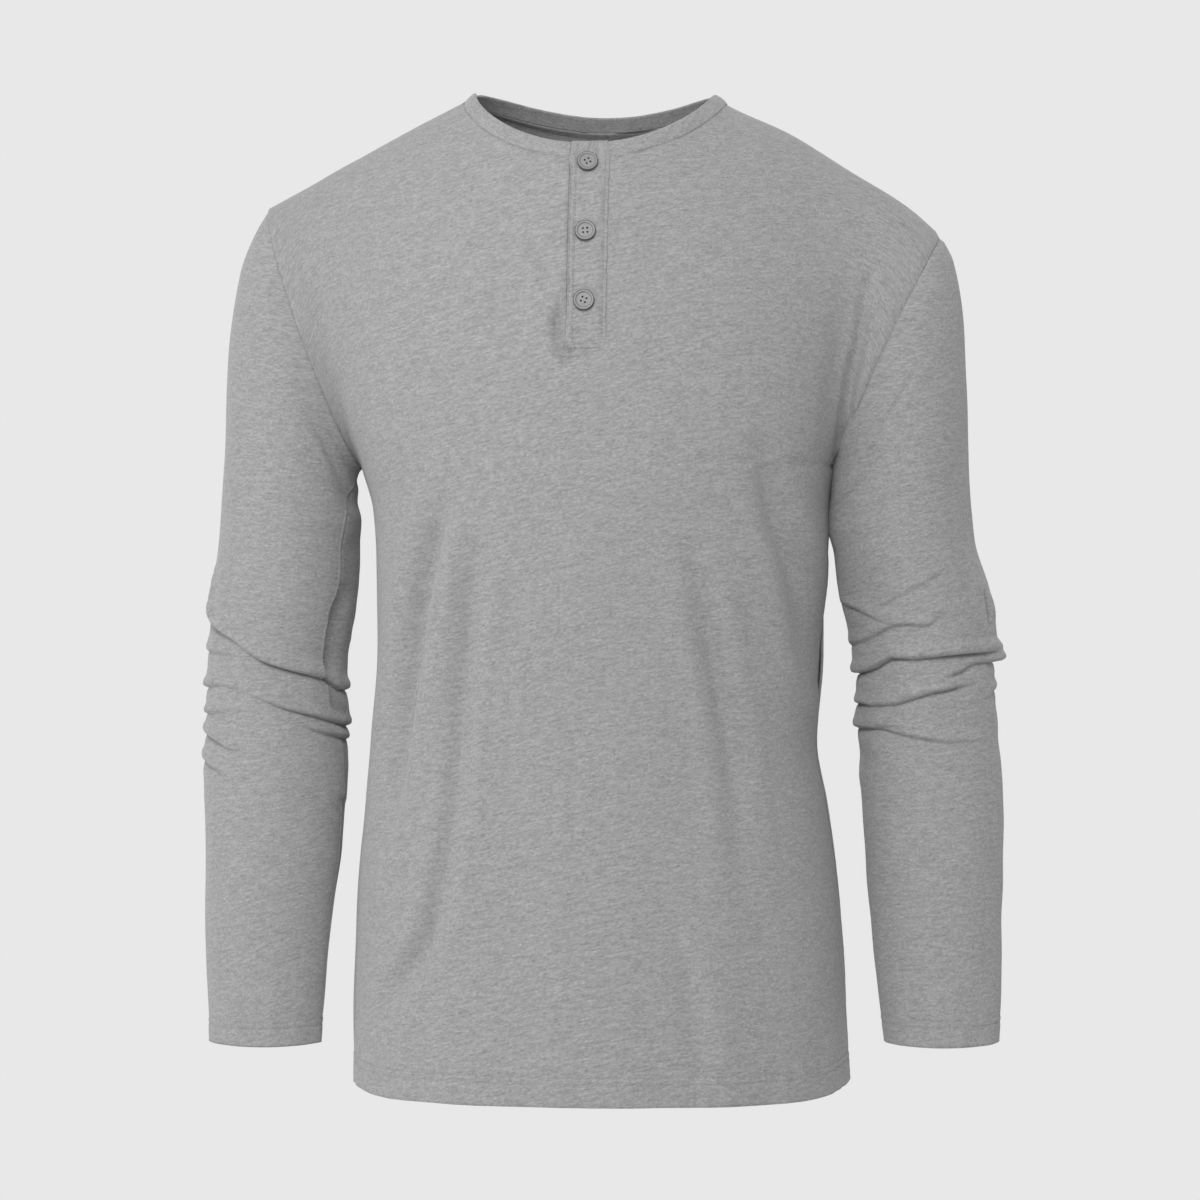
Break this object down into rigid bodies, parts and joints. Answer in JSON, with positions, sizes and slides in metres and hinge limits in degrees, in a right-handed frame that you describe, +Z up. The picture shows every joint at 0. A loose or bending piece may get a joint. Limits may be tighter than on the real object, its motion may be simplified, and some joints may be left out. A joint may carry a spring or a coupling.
{
  "type": "henley shirt",
  "caption": "Long-sleeved jersey henley shirt with a buttoned placket, filled out as it is worn, with open neck, hem and cuffs.",
  "frame": {"origin": "midway between the two high points of the neck, on the line of the shoulders, where the wearer holds the shirt up", "axes": "+Z up, -Y to the front of the shirt, +X to the wearer's left"},
  "size_m": [0.5724, 0.2548, 0.7105],
  "materials": {
    "jersey": "matt heather-grey cotton jersey",
    "button_plastic": "satin grey"
  },
  "bodies": {
    "root": {"front": "jersey", "back": "jersey", "sleeve_right": "jersey", "sleeve_left": "jersey", "neckband": "jersey", "placket_under": "jersey", "placket_top": "jersey", "button_1": "button_plastic", "button_2": "button_plastic", "button_3": "button_plastic"}
  },
  "joints": []
}
